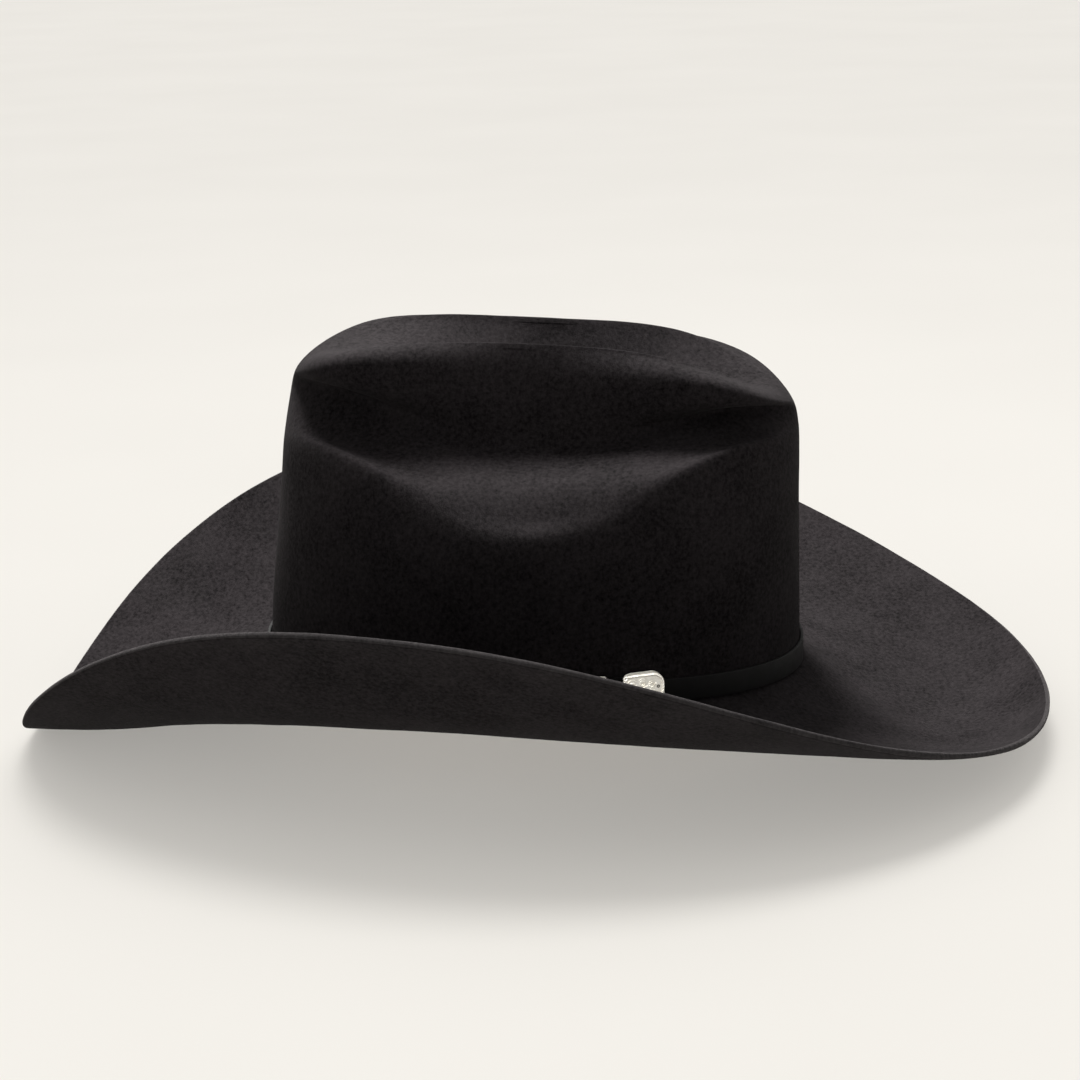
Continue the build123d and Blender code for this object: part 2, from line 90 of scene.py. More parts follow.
def around(values, turn):
    last = len(values) - 1
    ends = [0.5 if k in (0, last) else 1.0 for k in range(last + 1)]
    total = 0
    for k in range(last + 1):
        wave = sum(e * v * math.cos(k * j * math.pi / last) for j, (e, v) in enumerate(zip(ends, values)))
        total = total + ends[k] * wave * 2 / last * np.cos(k * turn)
    return total


def through(rows, level):
    rows = np.array(rows, float)
    count = len(rows)
    system = 4 * np.eye(count) + np.eye(count, k=1) + np.eye(count, k=-1)
    system[0], system[-1] = np.eye(count)[0], np.eye(count)[-1]
    load = np.zeros_like(rows)
    load[1:-1] = 6 * (rows[2:] - 2 * rows[1:-1] + rows[:-2])
    bend = np.linalg.solve(system, load)
    low = min(int(level), count - 2)
    part = level - low
    line = rows[low] * (1 - part) + rows[low + 1] * part
    return line + ((part**3 - part) * bend[low + 1] + ((1 - part) ** 3 - (1 - part)) * bend[low]) / 6


def centred(row):
    row = np.array(row, float)
    row[0, 0] = row[-1, 0] = 0
    return row


def oval_ring(wide, pinch, rear, front, heights):
    x = wide * np.sin(TURN) + pinch * np.sin(3 * TURN)
    y = (rear - front) / 2 + (rear + front) / 2 * np.cos(TURN)
    return centred(np.stack([x, y, around(heights, TURN)], 1))


CROWN_ROWS = [(w / (1 - c), w * c / (1 - c), r, f, *h) for w, c, r, f, h in CROWN]


def crown_ring(level):
    wide, pinch, rear, front, *heights = through(CROWN_ROWS, level)
    return oval_ring(wide, pinch, rear, front, heights)


def with_mirror(grid, axis):
    flip = grid * (-1, 1, 1)
    return np.concatenate([np.take(flip, [1], axis), grid, np.take(flip, [-2], axis)], axis)


def crown_inside(levels):
    grid = np.array([crown_ring(level) for level in levels])
    along = np.gradient(with_mirror(grid, 1), axis=1)[:, 1:-1]
    up = np.gradient(with_mirror(grid, 0)[1:], axis=0)[:-1]
    normal = np.cross(along, up)
    normal[-1, 0], normal[-1, -1] = normal[-1, 1], normal[-1, -2]
    normal /= np.linalg.norm(normal, axis=2, keepdims=True)
    outward = np.sign(np.sum(normal[0] * (1, 1, 0) * grid[0], axis=1).mean())
    return [centred(row) for row in grid - outward * FELT * normal]


def plan_normal(row):
    along = np.gradient(with_mirror(row, 0), axis=0)[1:-1]
    normal = np.stack([along[:, 1], -along[:, 0], 0 * along[:, 0]], 1)
    return -normal / np.linalg.norm(normal, axis=1, keepdims=True)


def inset(row, distance, rise=0.0):
    moved = row - np.atleast_1d(distance)[:, None] * plan_normal(row)
    moved[:, 2] += rise
    return centred(moved)


def inner_ring(level, distance):
    return inset(crown_ring(level), distance + 0.35 * level)


def brim_rings(shares, below):
    """Half rings of the brim: each share of its width at its own distance below the top."""
    foot = crown_ring(0)
    out = np.stack([np.sin(TURN) / FOOT_HALF_WIDTH, np.cos(TURN) / FOOT_HALF_LENGTH, 0 * TURN], 1)
    out /= np.linalg.norm(out, axis=1, keepdims=True)
    width = BRIM_WIDTH + BRIM_WIDER_AT_ENDS * np.cos(2 * TURN)
    start, middle, edge = (
        np.radians(around(s, TURN)) for s in (BRIM_SLOPE_FOOT, BRIM_SLOPE_MIDDLE, BRIM_SLOPE_EDGE)
    )
    places, normals, place, last, steps = [], [], foot.copy(), None, 400
    for step in range(steps + 1):
        share = step / steps
        slope = (
            start * (1 - share) * (1 - 2 * share)
            + middle * 4 * share * (1 - share)
            + edge * share * (2 * share - 1)
        )[:, None]
        across = out * np.cos(slope) + np.array((0, 0, 1)) * np.sin(slope)
        if step:
            place = place + (across + last) / 2 * width[:, None] / steps
        places.append(place)
        normals.append(-out * np.sin(slope) + np.array((0, 0, 1)) * np.cos(slope))
        last = across
    rows = []
    for share, drop in zip(shares, below):
        k, part = min(int(share * steps), steps - 1), share * steps - min(int(share * steps), steps - 1)
        middle = places[k] * (1 - part) + places[k + 1] * part
        rows.append(centred(middle - drop * (normals[k] * (1 - part) + normals[k + 1] * part)))
    return rows


def inner_foot():
    slope = np.radians(around(BRIM_SLOPE_FOOT, TURN))
    row = inset(crown_ring(0), FELT)
    row[:, 2] -= FELT * (1 + np.sin(slope)) / np.cos(slope)
    return row


# ---------------------------------------------------------------- mesh helpers
def make(name, parts, body="hat", replaced=(), looks=None, second=None, in_second=()):
    """One object from lists of points (mm) and faces, riding a body; some faces may have a second look."""
    points, faces = [], []
    for some, their in parts:
        faces += [tuple(k + len(points) for k in face) for face in their]
        points += [tuple(point) for point in np.asarray(some, float) * MM]
    mesh = bpy.data.meshes.new(name)
    mesh.from_pydata(points, [], faces)
    for k in in_second:
        mesh.polygons[k].material_index = 1
    work = bmesh.new()
    work.from_mesh(mesh)
    bmesh.ops.remove_doubles(work, verts=work.verts, dist=1e-7)
    bmesh.ops.recalc_face_normals(work, faces=work.faces)
    work.to_mesh(mesh)
    work.free()
    mesh.shade_smooth()
    piece = bpy.data.objects.new(name, mesh)
    bpy.context.scene.collection.objects.link(piece)
    for looks_used in filter(None, (looks, second)):
        mesh.materials.append(looks_used)
    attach(piece, body)
    if replaced:
        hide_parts(*replaced)
    return piece


def lofted(rows, closed_section=False, open_rear=False):
    """Surface through half rings and their mirror images."""
    rings = []
    for row in rows:
        flip = row[::-1][1:] if open_rear else row[1:-1][::-1]
        rings.append(np.vstack([row, flip * (-1, 1, 1)]))
    count, faces = len(rings[0]), []
    for i in range(len(rings) if closed_section else len(rings) - 1):
        a, b = i * count, (i + 1) % len(rings) * count
        for k in range(count - 1 if open_rear else count):
            n = (k + 1) % count
            faces.append((a + k, a + n, b + n, b + k))
    if open_rear and closed_section:
        faces += [tuple(i * count for i in range(len(rings)))]
        faces += [tuple(i * count + count - 1 for i in range(len(rings)))]
    return np.vstack(rings), faces


def tube(path, radius, sides=8, closed=False, up=(0, 0, 1)):
    path = np.array(path, float)
    tangent = np.roll(path, -1, 0) - np.roll(path, 1, 0) if closed else np.gradient(path, axis=0)
    tangent /= np.linalg.norm(tangent, axis=1, keepdims=True)
    side = np.cross(tangent, up)
    side /= np.linalg.norm(side, axis=1, keepdims=True) + 1e-9
    lift = np.cross(side, tangent)
    turn = np.linspace(0, 2 * math.pi, sides, endpoint=False)
    if np.ndim(radius) < 2:
        radius = np.repeat(np.broadcast_to(np.asarray(radius, float), (len(path),))[:, None], sides, 1)
    ring = path[:, None] + radius[..., None] * (
        np.cos(turn)[None, :, None] * side[:, None] + np.sin(turn)[None, :, None] * lift[:, None]
    )
    faces = []
    for i in range(len(path) if closed else len(path) - 1):
        a, b = i * sides, (i + 1) % len(path) * sides
        faces += [(a + k, a + (k + 1) % sides, b + (k + 1) % sides, b + k) for k in range(sides)]
    if not closed:
        faces += [tuple(range(sides)), tuple(range((len(path) - 1) * sides, len(path) * sides))]
    return ring.reshape(-1, 3), faces


def thread(start, end, lift, radius, steps=7):
    """One stitch: a thread that rises out of one hole and goes into the next."""
    start, end, lift = (np.array(v, float) for v in (start, end, lift))
    share = np.linspace(0, 1, steps)[:, None]
    path = start + (end - start) * share + lift * np.sin(math.pi * share) ** 0.7
    thick = radius * (0.75 + 0.25 * np.sin(math.pi * share[:, 0]))
    return tube(path, thick, 7, up=lift)


def strap_frame(y):
    """Origin on the crown's left side and the directions to the rear, up and outwards."""
    turn = math.acos(y / FOOT_HALF_LENGTH)
    x = FOOT_HALF_WIDTH * math.sin(turn)
    normal = np.array((x / FOOT_HALF_WIDTH**2, y / FOOT_HALF_LENGTH**2, 0))
    normal /= np.linalg.norm(normal)
    along, up = np.array((-normal[1], normal[0], 0)), np.array((0, 0, 1.0))
    return np.array((x, y, STRAP_HEIGHT)), along, up, normal


def placed(y, points):
    """Points given along the strap, up and outwards, set on the crown at y."""
    origin, along, up, out = strap_frame(y)
    points = np.asarray(points, float)
    return origin + points[:, :1] * along + points[:, 1:2] * up + points[:, 2:] * out


# ---------------------------------------------------------------- materials
def principled(name, **values):
    looks = bpy.data.materials.new(name)
    looks.use_nodes = True
    shader = looks.node_tree.nodes["Principled BSDF"]
    for key, value in values.items():
        shader.inputs[key.replace("_", " ")].default_value = value
    return looks, looks.node_tree, shader


def noise_node(tree, scale, detail=4.0, rough=0.6, stretch=None):
    place = tree.nodes.new("ShaderNodeTexCoord")
    texture = tree.nodes.new("ShaderNodeTexNoise")
    texture.inputs["Scale"].default_value = scale
    texture.inputs["Detail"].default_value = detail
    texture.inputs["Roughness"].default_value = rough
    source = place.outputs["Object"]
    if stretch:
        mapping = tree.nodes.new("ShaderNodeMapping")
        mapping.inputs["Scale"].default_value = stretch
        tree.links.new(source, mapping.inputs["Vector"])
        source = mapping.outputs["Vector"]
    tree.links.new(source, texture.inputs["Vector"])
    return texture.outputs["Fac"]


def ramp(tree, value, stops):
    node = tree.nodes.new("ShaderNodeValToRGB")
    for element, (place, colour) in zip(node.color_ramp.elements, (stops[0], stops[-1])):
        element.position, element.color = place, (*colour, 1)
    for place, colour in stops[1:-1]:
        node.color_ramp.elements.new(place).color = (*colour, 1)
    tree.links.new(value, node.inputs["Fac"])
    return node.outputs["Color"]


def bump(tree, shader, heights):
    """Chain of bumps on the shader's normal: (height output, strength, distance)."""
    last = None
    for value, strength, distance in heights:
        node = tree.nodes.new("ShaderNodeBump")
        node.inputs["Strength"].default_value = strength
        node.inputs["Distance"].default_value = distance
        tree.links.new(value, node.inputs["Height"])
        if last:
            tree.links.new(last, node.inputs["Normal"])
        last = node.outputs["Normal"]
    tree.links.new(last, shader.inputs["Normal"])


def uneven_gloss(tree, shader, scale, smoothest, roughest):
    """Roughness that varies between two values with a fine noise."""
    gloss = tree.nodes.new("ShaderNodeMapRange")
    gloss.inputs["To Min"].default_value = smoothest
    gloss.inputs["To Max"].default_value = roughest
    tree.links.new(noise_node(tree, scale, 3), gloss.inputs["Value"])
    tree.links.new(gloss.outputs["Result"], shader.inputs["Roughness"])


def felt_looks(name, dark, light, sheen):
    looks, tree, shader = principled(
        name, Roughness=0.92, Specular_IOR_Level=0.05, Sheen_Weight=sheen, Sheen_Roughness=0.45,
        Sheen_Tint=(0.92, 0.86, 0.88, 1),
    )
    nap = noise_node(tree, 620, 7, 0.72)
    patches = noise_node(tree, 38, 3, 0.55)
    mixed = tree.nodes.new("ShaderNodeMath")
    mixed.operation = "MULTIPLY_ADD"
    tree.links.new(patches, mixed.inputs[0])
    mixed.inputs[1].default_value = 0.35
    tree.links.new(nap, mixed.inputs[2])
    half_tone = [(a + b) / 2 for a, b in zip(dark, light)]
    colour = ramp(tree, mixed.outputs[0], [(0.45, dark), (0.68, half_tone), (0.95, light)])
    tree.links.new(colour, shader.inputs["Base Color"])
    fibre = noise_node(tree, 2100, 4, 0.7)
    bump(tree, shader, [(nap, 0.35, 0.0006), (fibre, 0.4, 0.0003)])
    return looks


felt = felt_looks("felt", (0.0012, 0.0009, 0.001), (0.027, 0.0235, 0.025), 0.012)
# lighter felt with more sheen for the brim's cut edge: a painted highlight of the light glancing along the
# edge
painted_highlight_felt = felt_looks("felt_edge_painted_highlight", (0.012, 0.011, 0.0115), (0.05, 0.046, 0.047), 0.08)


def leather_looks(name, dark, light, roughness, grain, depth):
    looks, tree, shader = principled(name, Roughness=roughness, Specular_IOR_Level=0.22)
    cells = tree.nodes.new("ShaderNodeTexVoronoi")
    cells.feature = "DISTANCE_TO_EDGE"
    cells.inputs["Scale"].default_value = grain
    place = tree.nodes.new("ShaderNodeTexCoord")
    tree.links.new(place.outputs["Object"], cells.inputs["Vector"])
    clouds = noise_node(tree, 45, 5, 0.6)
    tree.links.new(ramp(tree, clouds, [(0.3, dark), (0.75, light)]), shader.inputs["Base Color"])
    uneven_gloss(tree, shader, 160, roughness - 0.1, roughness + 0.12)
    fine_grain = noise_node(tree, grain * 3)
    bump(tree, shader, [(cells.outputs["Distance"], 0.3, depth), (fine_grain, 0.2, depth / 2)])
    return looks


band_leather = leather_looks("band_leather", (0.0015, 0.0015, 0.0016), (0.005, 0.0048, 0.005), 0.6, 1500,
                             0.00015)
sweat_leather = leather_looks("sweatband_leather", (0.07, 0.034, 0.016), (0.17, 0.088, 0.045), 0.46,
                              1100, 0.00025)
label_leather = leather_looks("label_leather", (0.12, 0.065, 0.035), (0.19, 0.11, 0.06), 0.5, 1600, 0.00015)


def woven_looks(name, dark, light, count, roughness, sheen, depth):
    """Plain weave of crossing threads, count threads per metre."""
    looks, tree, shader = principled(name, Roughness=roughness, Sheen_Weight=sheen, Sheen_Roughness=0.4)
    place = tree.nodes.new("ShaderNodeTexCoord")
    waves = []
    for direction in ("X", "Z"):
        wave = tree.nodes.new("ShaderNodeTexWave")
        wave.bands_direction = direction
        wave.inputs["Scale"].default_value = count / 6.3
        wave.inputs["Distortion"].default_value = 0.6
        wave.inputs["Detail"].default_value = 1.0
        tree.links.new(place.outputs["Object"], wave.inputs["Vector"])
        waves.append(wave.outputs["Fac"])
    crossing = tree.nodes.new("ShaderNodeMath")
    crossing.operation = "MAXIMUM"
    tree.links.new(waves[0], crossing.inputs[0])
    tree.links.new(waves[1], crossing.inputs[1])
    cloud = noise_node(tree, 60, 4)
    tree.links.new(ramp(tree, cloud, [(0.3, dark), (0.72, light)]), shader.inputs["Base Color"])
    bump(tree, shader, [(crossing.outputs[0], 0.35, depth), (noise_node(tree, 900), 0.15, depth)])
    return looks


satin = woven_looks("lining_satin", (0.30, 0.285, 0.26), (0.46, 0.44, 0.41), 3200, 0.34, 0.35, 0.00006)
piping = woven_looks("lining_piping", (0.20, 0.185, 0.165), (0.33, 0.31, 0.28), 2600, 0.42, 0.3, 0.00008)
tape = woven_looks("reed_tape_weave", (0.018, 0.018, 0.018), (0.045, 0.043, 0.042), 1700, 0.8, 0.25, 0.0001)
ribbon = woven_looks("bow_ribbon", (0.014, 0.014, 0.015), (0.04, 0.04, 0.042), 1500, 0.5, 0.3, 0.0001)
waxed = woven_looks("waxed_thread", (0.012, 0.012, 0.012), (0.04, 0.038, 0.036), 2500, 0.55, 0.2, 0.00008)
tan_thread = woven_looks("sweatband_thread", (0.16, 0.10, 0.055), (0.30, 0.20, 0.12), 2500, 0.6, 0.2,
                         0.00008)


def silver_looks(name, dark, light, roughness):
    looks, tree, shader = principled(name, Metallic=0.55, Roughness=roughness)
    tarnish = noise_node(tree, 420, 6, 0.65)
    colour = ramp(tree, tarnish, [(0.35, dark), (0.55, light), (0.9, light)])
    tree.links.new(colour, shader.inputs["Base Color"])
    uneven_gloss(tree, shader, 900, roughness - 0.07, roughness + 0.14)
    scratches = noise_node(tree, 1400, 3, 0.6, (1, 0.08, 1))
    bump(tree, shader, [(scratches, 0.12, 0.0001), (tarnish, 0.1, 0.0001)])
    return looks


silver = silver_looks("silver", (0.8, 0.76, 0.66), (0.98, 0.95, 0.87), 0.34)
# a dark silver, used only on the tip's dot ring: painted shade of the engraved dot
dot_painted_shade_silver = silver_looks("silver_dot_painted_shade", (0.07, 0.065, 0.06), (0.16, 0.15, 0.135), 0.45)

reed_plastic, reed_tree, reed_shader = principled("reed_plastic", Roughness=0.5)
reed_stops = [(0.3, (0.03, 0.03, 0.03)), (0.8, (0.07, 0.07, 0.07))]
reed_tone = ramp(reed_tree, noise_node(reed_tree, 300), reed_stops)
reed_tree.links.new(reed_tone, reed_shader.inputs["Base Color"])
clear_film, film_tree, film_shader = principled(
    "clear_film", Base_Color=(0.9, 0.9, 0.88, 1), Roughness=0.08, Alpha=0.22, Coat_Weight=0.6, IOR=1.49
)
bump(film_tree, film_shader, [(noise_node(film_tree, 28, 2), 0.25, 0.001)])

# ---------------------------------------------------------------- felt body
levels = np.concatenate([np.linspace(CREASE_LEVEL, 0.3, 130), np.linspace(0.27, 0, 5)])
outside = [crown_ring(level) for level in levels]
shares = np.concatenate([np.linspace(0, 0.985, 70)[1:], [0.99]])
top = brim_rings(shares, np.zeros(len(shares)))
edge_turns = np.linspace(90, -90, 9)
edge_shares = [0.99 + 0.01 * math.cos(math.radians(a)) for a in edge_turns]
edge_sines = [math.sin(math.radians(a)) for a in edge_turns]
edge_depths = [FELT / 2 * (1 - math.copysign(abs(sine) ** 0.55, sine)) for sine in edge_sines]
rounded = brim_rings(edge_shares, edge_depths)
under_shares = np.linspace(0.985, 0.06, 66)
under = brim_rings(under_shares, np.full(len(under_shares), FELT))
inside_levels = np.concatenate([[0], np.linspace(0.06, CREASE_LEVEL, 90)])
inside = crown_inside(inside_levels)[1:]
felt_rows = outside + top + rounded + under + [inner_foot()] + inside
across_count = 2 * (len(TURN) - 1)
# the rounded brim edge's faces get the lighter felt, a painted highlight along the edge
first_highlight_row = len(outside) + len(top) + 1
painted_highlight_faces = range(first_highlight_row * across_count, (first_highlight_row + len(rounded) - 4) * across_count)
body = make("felt_hat", [lofted(felt_rows)], replaced=["felt_body"], looks=felt,
            second=painted_highlight_felt,
            in_second=painted_highlight_faces)
spots = [vertex.co.copy() for vertex in body.data.vertices]
normals = [normal.vector.copy() for normal in body.data.vertex_normals]
for vertex, here, normal in zip(body.data.vertices, spots, normals):
    if here.z > 0.004:
        swell = noise.noise(here * 34) * 0.00028 + noise.noise(here * 110) * 0.00007
        vertex.co = here + normal * swell

foot = crown_ring(0)


def swept(section, closed_section=True, row=None, open_rear=False):
    """Rows of a section, given as (distance in, rise), round the hat's foot."""
    base = foot if row is None else row
    return lofted([inset(base, d, rise) for d, rise in section], closed_section, open_rear)


def rounded_section(inner, outer, low, high, radius, steps=4):
    corners = [(outer + radius, low + radius, 180), (inner - radius, low + radius, 270),
               (inner - radius, high - radius, 0), (outer + radius, high - radius, 90)]
    section = []
    for x, z, start in corners:
        for k in range(steps + 1):
            a = math.radians(start + 90 * k / steps)
            section.append((x + radius * math.cos(a), z + radius * math.sin(a)))
    return section


# ---------------------------------------------------------------- band
BAND_RISE, BAND_TALL, BAND_IN, BAND_OUT = 0.6, 8.7, -0.15, -1.35
make("hat_band_strip", [swept(rounded_section(BAND_IN, BAND_OUT, BAND_RISE, BAND_RISE + BAND_TALL, 0.32))],
     replaced=["hat_band"], looks=band_leather)

tacks = []
for angle in (60, 128, 232, 300):
    turn = math.radians(angle)
    spot = np.array((FOOT_HALF_WIDTH * math.sin(turn), FOOT_HALF_LENGTH * math.cos(turn), 0))
    out = np.array((spot[0] / FOOT_HALF_WIDTH**2, spot[1] / FOOT_HALF_LENGTH**2, 0))
    out /= np.linalg.norm(out)
    along = np.array((-out[1], out[0], 0))
    spot = spot + out * 1.3 + (0, 0, float(around(FOOT_HEIGHTS, turn)) + BAND_RISE + BAND_TALL - 1.2)
    for k in (-1, 0, 1):
        middle = spot + (0, 0, 0.24 * k)
        tacks.append(thread(middle - along * 1.5, middle + along * 1.5, out * 0.14, 0.12))
make("band_tack_threads", tacks, replaced=["band_tacks"], looks=waxed)

# ---------------------------------------------------------------- buckle set
BUCKLE_Y, KEEPER_Y, TIP_Y = 16.0, 31.0, 45.6
BAR_X, BAR_OUT = 6.3, 2.5


def give_looks(node, looks):
    """Puts a material on one of the part's own nodes."""
    nodes[node].data.materials.clear()
    nodes[node].data.materials.append(looks)


for node in ("buckle_frame", "buckle_bar", "buckle_prong", "strap_keeper", "strap_tip", "strap_tip_pins"):
    give_looks(node, silver)
give_looks("band_billet", band_leather)

wraps = []
for side in (-3.1, 3.1):
    for k in (-0.3, 0.0, 0.3):
        turns = np.linspace(0, 2 * math.pi, 20, endpoint=False)
        ring = [(BAR_X + 0.82 * math.cos(a), side + k, BAR_OUT + 0.82 * math.sin(a)) for a in turns]
        wraps.append(tube(placed(BUCKLE_Y, ring), 0.16, 7, closed=True))
make("buckle_tack_threads", wraps, replaced=["buckle_tacks"], looks=waxed)


def outline_points(long, tall, radii, inset_by, count):
    """Even points on a rounded rectangle; radii for the rear and front ends."""
    half_long, half_tall = long / 2 - inset_by, tall / 2 - inset_by
    points = []
    for cx, cy, start in ((1, 1, 0), (-1, 1, 90), (-1, -1, 180), (1, -1, 270)):
        radius = max((radii[0] if cx > 0 else radii[1]) - inset_by, 0.15)
        for k in range(9):
            a = math.radians(start + 90 * k / 8)
            points.append((cx * (half_long - radius) + radius * math.cos(a),
                           cy * (half_tall - radius) + radius * math.sin(a)))
    points = np.array(points + points[:1])
    steps = np.concatenate([[0], np.cumsum(np.linalg.norm(np.diff(points, axis=0), axis=1))])
    at = np.linspace(0, steps[-1], count, endpoint=False)
    return np.stack([np.interp(at, steps, points[:, 0]), np.interp(at, steps, points[:, 1])], 1)


def rope(y, line, out, radius, closed=True):
    """Twisted rope of two strands' ridges along a line on the metal."""
    points = placed(y, [(a, b, out) for a, b in line])
    turn = np.linspace(0, 2 * math.pi, 10, endpoint=False)
    along = np.arange(len(points))[:, None] * 2 * math.pi * round(len(points) / 7) / len(points)
    ridges = radius * (1 + 0.3 * np.cos(2 * turn[None] + along))
    return tube(points, ridges, 10, closed=closed, up=strap_frame(y)[3])


def scroll(x, y, size, spin, start=0.0, turns=1.6):
    """Engraved scroll as a spiral line."""
    a = np.linspace(0, turns * 2 * math.pi, 34)
    r = size * (1 - a / a[-1]) ** 0.8 + 0.08
    return np.stack([x + r * np.cos(start + spin * a), y + r * np.sin(start + spin * a)], 1)


def relief(y, lines, out, radius):
    parts = []
    for line in lines:
        thick = radius * (0.35 + 0.65 * np.sin(math.pi * np.linspace(0.06, 0.94, len(line))))
        parts.append(tube(placed(y, [(a, b, out) for a, b in line]), thick, 7, up=strap_frame(y)[3]))
    return parts


FRAME_TOP, TIP_TOP = 4.7, 4.7
buckle_edge = outline_points(16.4, 12.6, (3.2, 3.2), 0.55, 336)
make("buckle_rope_edge", [rope(BUCKLE_Y, buckle_edge, FRAME_TOP, 0.34)],
     looks=silver)
buckle_lines = []
for side in (-1, 1):
    for k in range(5):
        buckle_lines.append(scroll(-4.4 + 2.4 * k, side * 5.35, 0.42, side * (-1) ** k, turns=1.2))
for k in range(4):
    buckle_lines.append(scroll(-6.6, -3.0 + 2.0 * k, 0.6, (-1) ** k))
make("buckle_engraving", relief(BUCKLE_Y, buckle_lines, FRAME_TOP - 0.01, 0.15),
     looks=silver)

make("tip_rope_edge", [rope(TIP_Y, outline_points(16.0, 10.4, (4.4, 0.9), 0.6, 308), TIP_TOP, 0.4)],
     looks=silver)
tip_lines = [
    scroll(-4.6, 1.5, 1.9, 1, 0.4), scroll(-4.4, -1.7, 1.8, -1, 0.2),
    scroll(-0.6, 1.9, 1.6, -1, 2.6), scroll(-0.4, -1.6, 1.7, 1, 2.9),
    scroll(3.0, 0.9, 1.4, 1, 1.0), scroll(2.8, -1.7, 1.2, -1, 0.5),
]
stem = np.linspace(-6.6, 4.8, 40)
tip_lines.append(np.stack([stem, 0.5 * np.sin(stem * 0.9)], 1))
for k in range(9):
    x = -6.0 + 1.25 * k
    side = (-1) ** k
    leaf = np.linspace(0, 1, 14)
    tip_lines.append(np.stack([x + 0.9 * leaf, side * (0.4 + 1.5 * leaf - 0.5 * leaf**2)], 1))
make("tip_engraving", relief(TIP_Y, tip_lines, TIP_TOP - 0.02, 0.19), looks=silver)
dot_turns = np.linspace(0, 2 * math.pi, 18)[:-1]
dot = [(5.6 + 0.42 * math.cos(a), 0.42 * math.sin(a), TIP_TOP + 0.05) for a in dot_turns]
# the dot's ring is drawn in the dark silver: painted shade of the engraved dot
make("tip_dot", [tube(placed(TIP_Y, dot), 0.2, 7, closed=True)], looks=dot_painted_shade_silver)

keeper_ropes = []
for x in (-1.55, 1.55):
    line = placed(KEEPER_Y, [(x, up, 5.0) for up in np.linspace(-4.6, 4.6, 90)])
    turn = np.linspace(0, 2 * math.pi, 10, endpoint=False)
    ridges = 0.27 * (1 + 0.28 * np.cos(2 * turn[None] + np.arange(90)[:, None] * 0.9))
    keeper_ropes.append(tube(line, ridges, 10, up=strap_frame(KEEPER_Y)[3]))
keeper_lines = [scroll(0, up, 0.7, (-1) ** k) for k, up in enumerate((-3.0, -1.0, 1.0, 3.0))]
keeper_ropes += relief(KEEPER_Y, keeper_lines, 5.02, 0.13)
make("keeper_rope_edges", keeper_ropes, body="keeper", looks=silver)

# ---------------------------------------------------------------- sweatband, tape, seams, bow
LEATHER_INSET, LEATHER = 3.3, 1.0
rise_levels = np.linspace(0.12, 1.6, 22)
outer = [inset(foot, LEATHER_INSET, 0.75)] + [inner_ring(level, LEATHER_INSET) for level in rise_levels]
inner = [inset(foot, LEATHER_INSET + LEATHER, 0.75)]
inner += [inner_ring(level, LEATHER_INSET + LEATHER) for level in rise_levels]
ripple = 0.12 * np.sin(TURN * 23) * np.sin(TURN * 7)
for k, row in enumerate(inner):
    inner[k] = inset(row, ripple * k / len(inner))
lip = inset((outer[-1] + inner[-1]) / 2, 0, 0.35)
leather_rows = outer + [lip] + inner[::-1]
for row in leather_rows:
    row[0, 0] = 0.3
make("sweatband_leather_strip", [lofted(leather_rows, True, True)], replaced=["sweatband"],
     looks=sweat_leather)

REED_INSET, REED_RISE, REED_RADIUS = 4.0, -0.7, 0.95
bead, hollow = REED_RADIUS + 0.4, REED_RADIUS + 0.05
TAPE_OUTER, TAPE_INNER, TAPE_TOP = 2.65, 3.15, 2.8


def round_reed(radius, start, end):
    turns = np.radians(np.linspace(start, end, 20))
    return [(REED_INSET + radius * math.sin(a), REED_RISE + radius * math.cos(a)) for a in turns]


section = [(TAPE_OUTER, TAPE_TOP), (TAPE_OUTER, REED_RISE + bead * 0.5 + 0.6)]
section += round_reed(bead, -60, -315) + round_reed(hollow, -315, -45)
section += [(TAPE_INNER, REED_RISE + hollow + 0.5), (TAPE_INNER, TAPE_TOP)]
give_looks("sweatband_reed", reed_plastic)
make("reed_tape_fold", [swept(section)], replaced=["reed_tape"], looks=tape)



def whole_ring(row):
    """Closed ring from a half ring, with the distance along it at each point."""
    ring = np.vstack([row, (row * (-1, 1, 1))[::-1][1:-1]])
    spans = np.linalg.norm(np.diff(np.vstack([ring, ring[:1]]), axis=0), axis=1)
    return ring, np.concatenate([[0], np.cumsum(spans)])


def evenly(ring, steps, count):
    at = np.linspace(0, steps[-1], count, endpoint=False)
    return np.stack([np.interp(at, steps, np.append(ring[:, k], ring[0, k])) for k in range(3)], 1)


STITCH_PITCH = 5.2
stitches = []
ring, steps = whole_ring(inset(foot, LEATHER_INSET + LEATHER + 0.12))
count = 2 * round(steps[-1] / STITCH_PITCH)
path = evenly(ring, steps, count)
path[:, 2] += np.where(np.arange(count) % 2, 2.5, 4.3)
for a, b in zip(path, np.roll(path, -1, 0)):
    inward = -np.array((a[0], a[1], 0)) / math.hypot(a[0], a[1])
    stitches.append(thread(a, b, inward * 0.45, 0.26, 6))
make("sweatband_zigzag", stitches, replaced=["sweatband_stitches"], looks=tan_thread)

REAR_Y = FOOT_HALF_LENGTH - LEATHER_INSET - LEATHER
seam = []
for k in range(8):
    height = 37.5 + 5.0 * k
    depth = REAR_Y - 0.3 - 0.012 * (height - FOOT_HEIGHTS[0])
    low, high = (-2.2, depth, height - 1.4), (2.2, depth, height + 1.4)
    seam.append(thread(low, high, (0, -0.4, 0), 0.28))
    seam.append(thread((2.2, depth, height - 1.4), (-2.2, depth, height + 1.4), (0, -0.75, 0), 0.28))
make("sweatband_seam_threads", seam, replaced=["sweatband_back_seam"], looks=tan_thread)


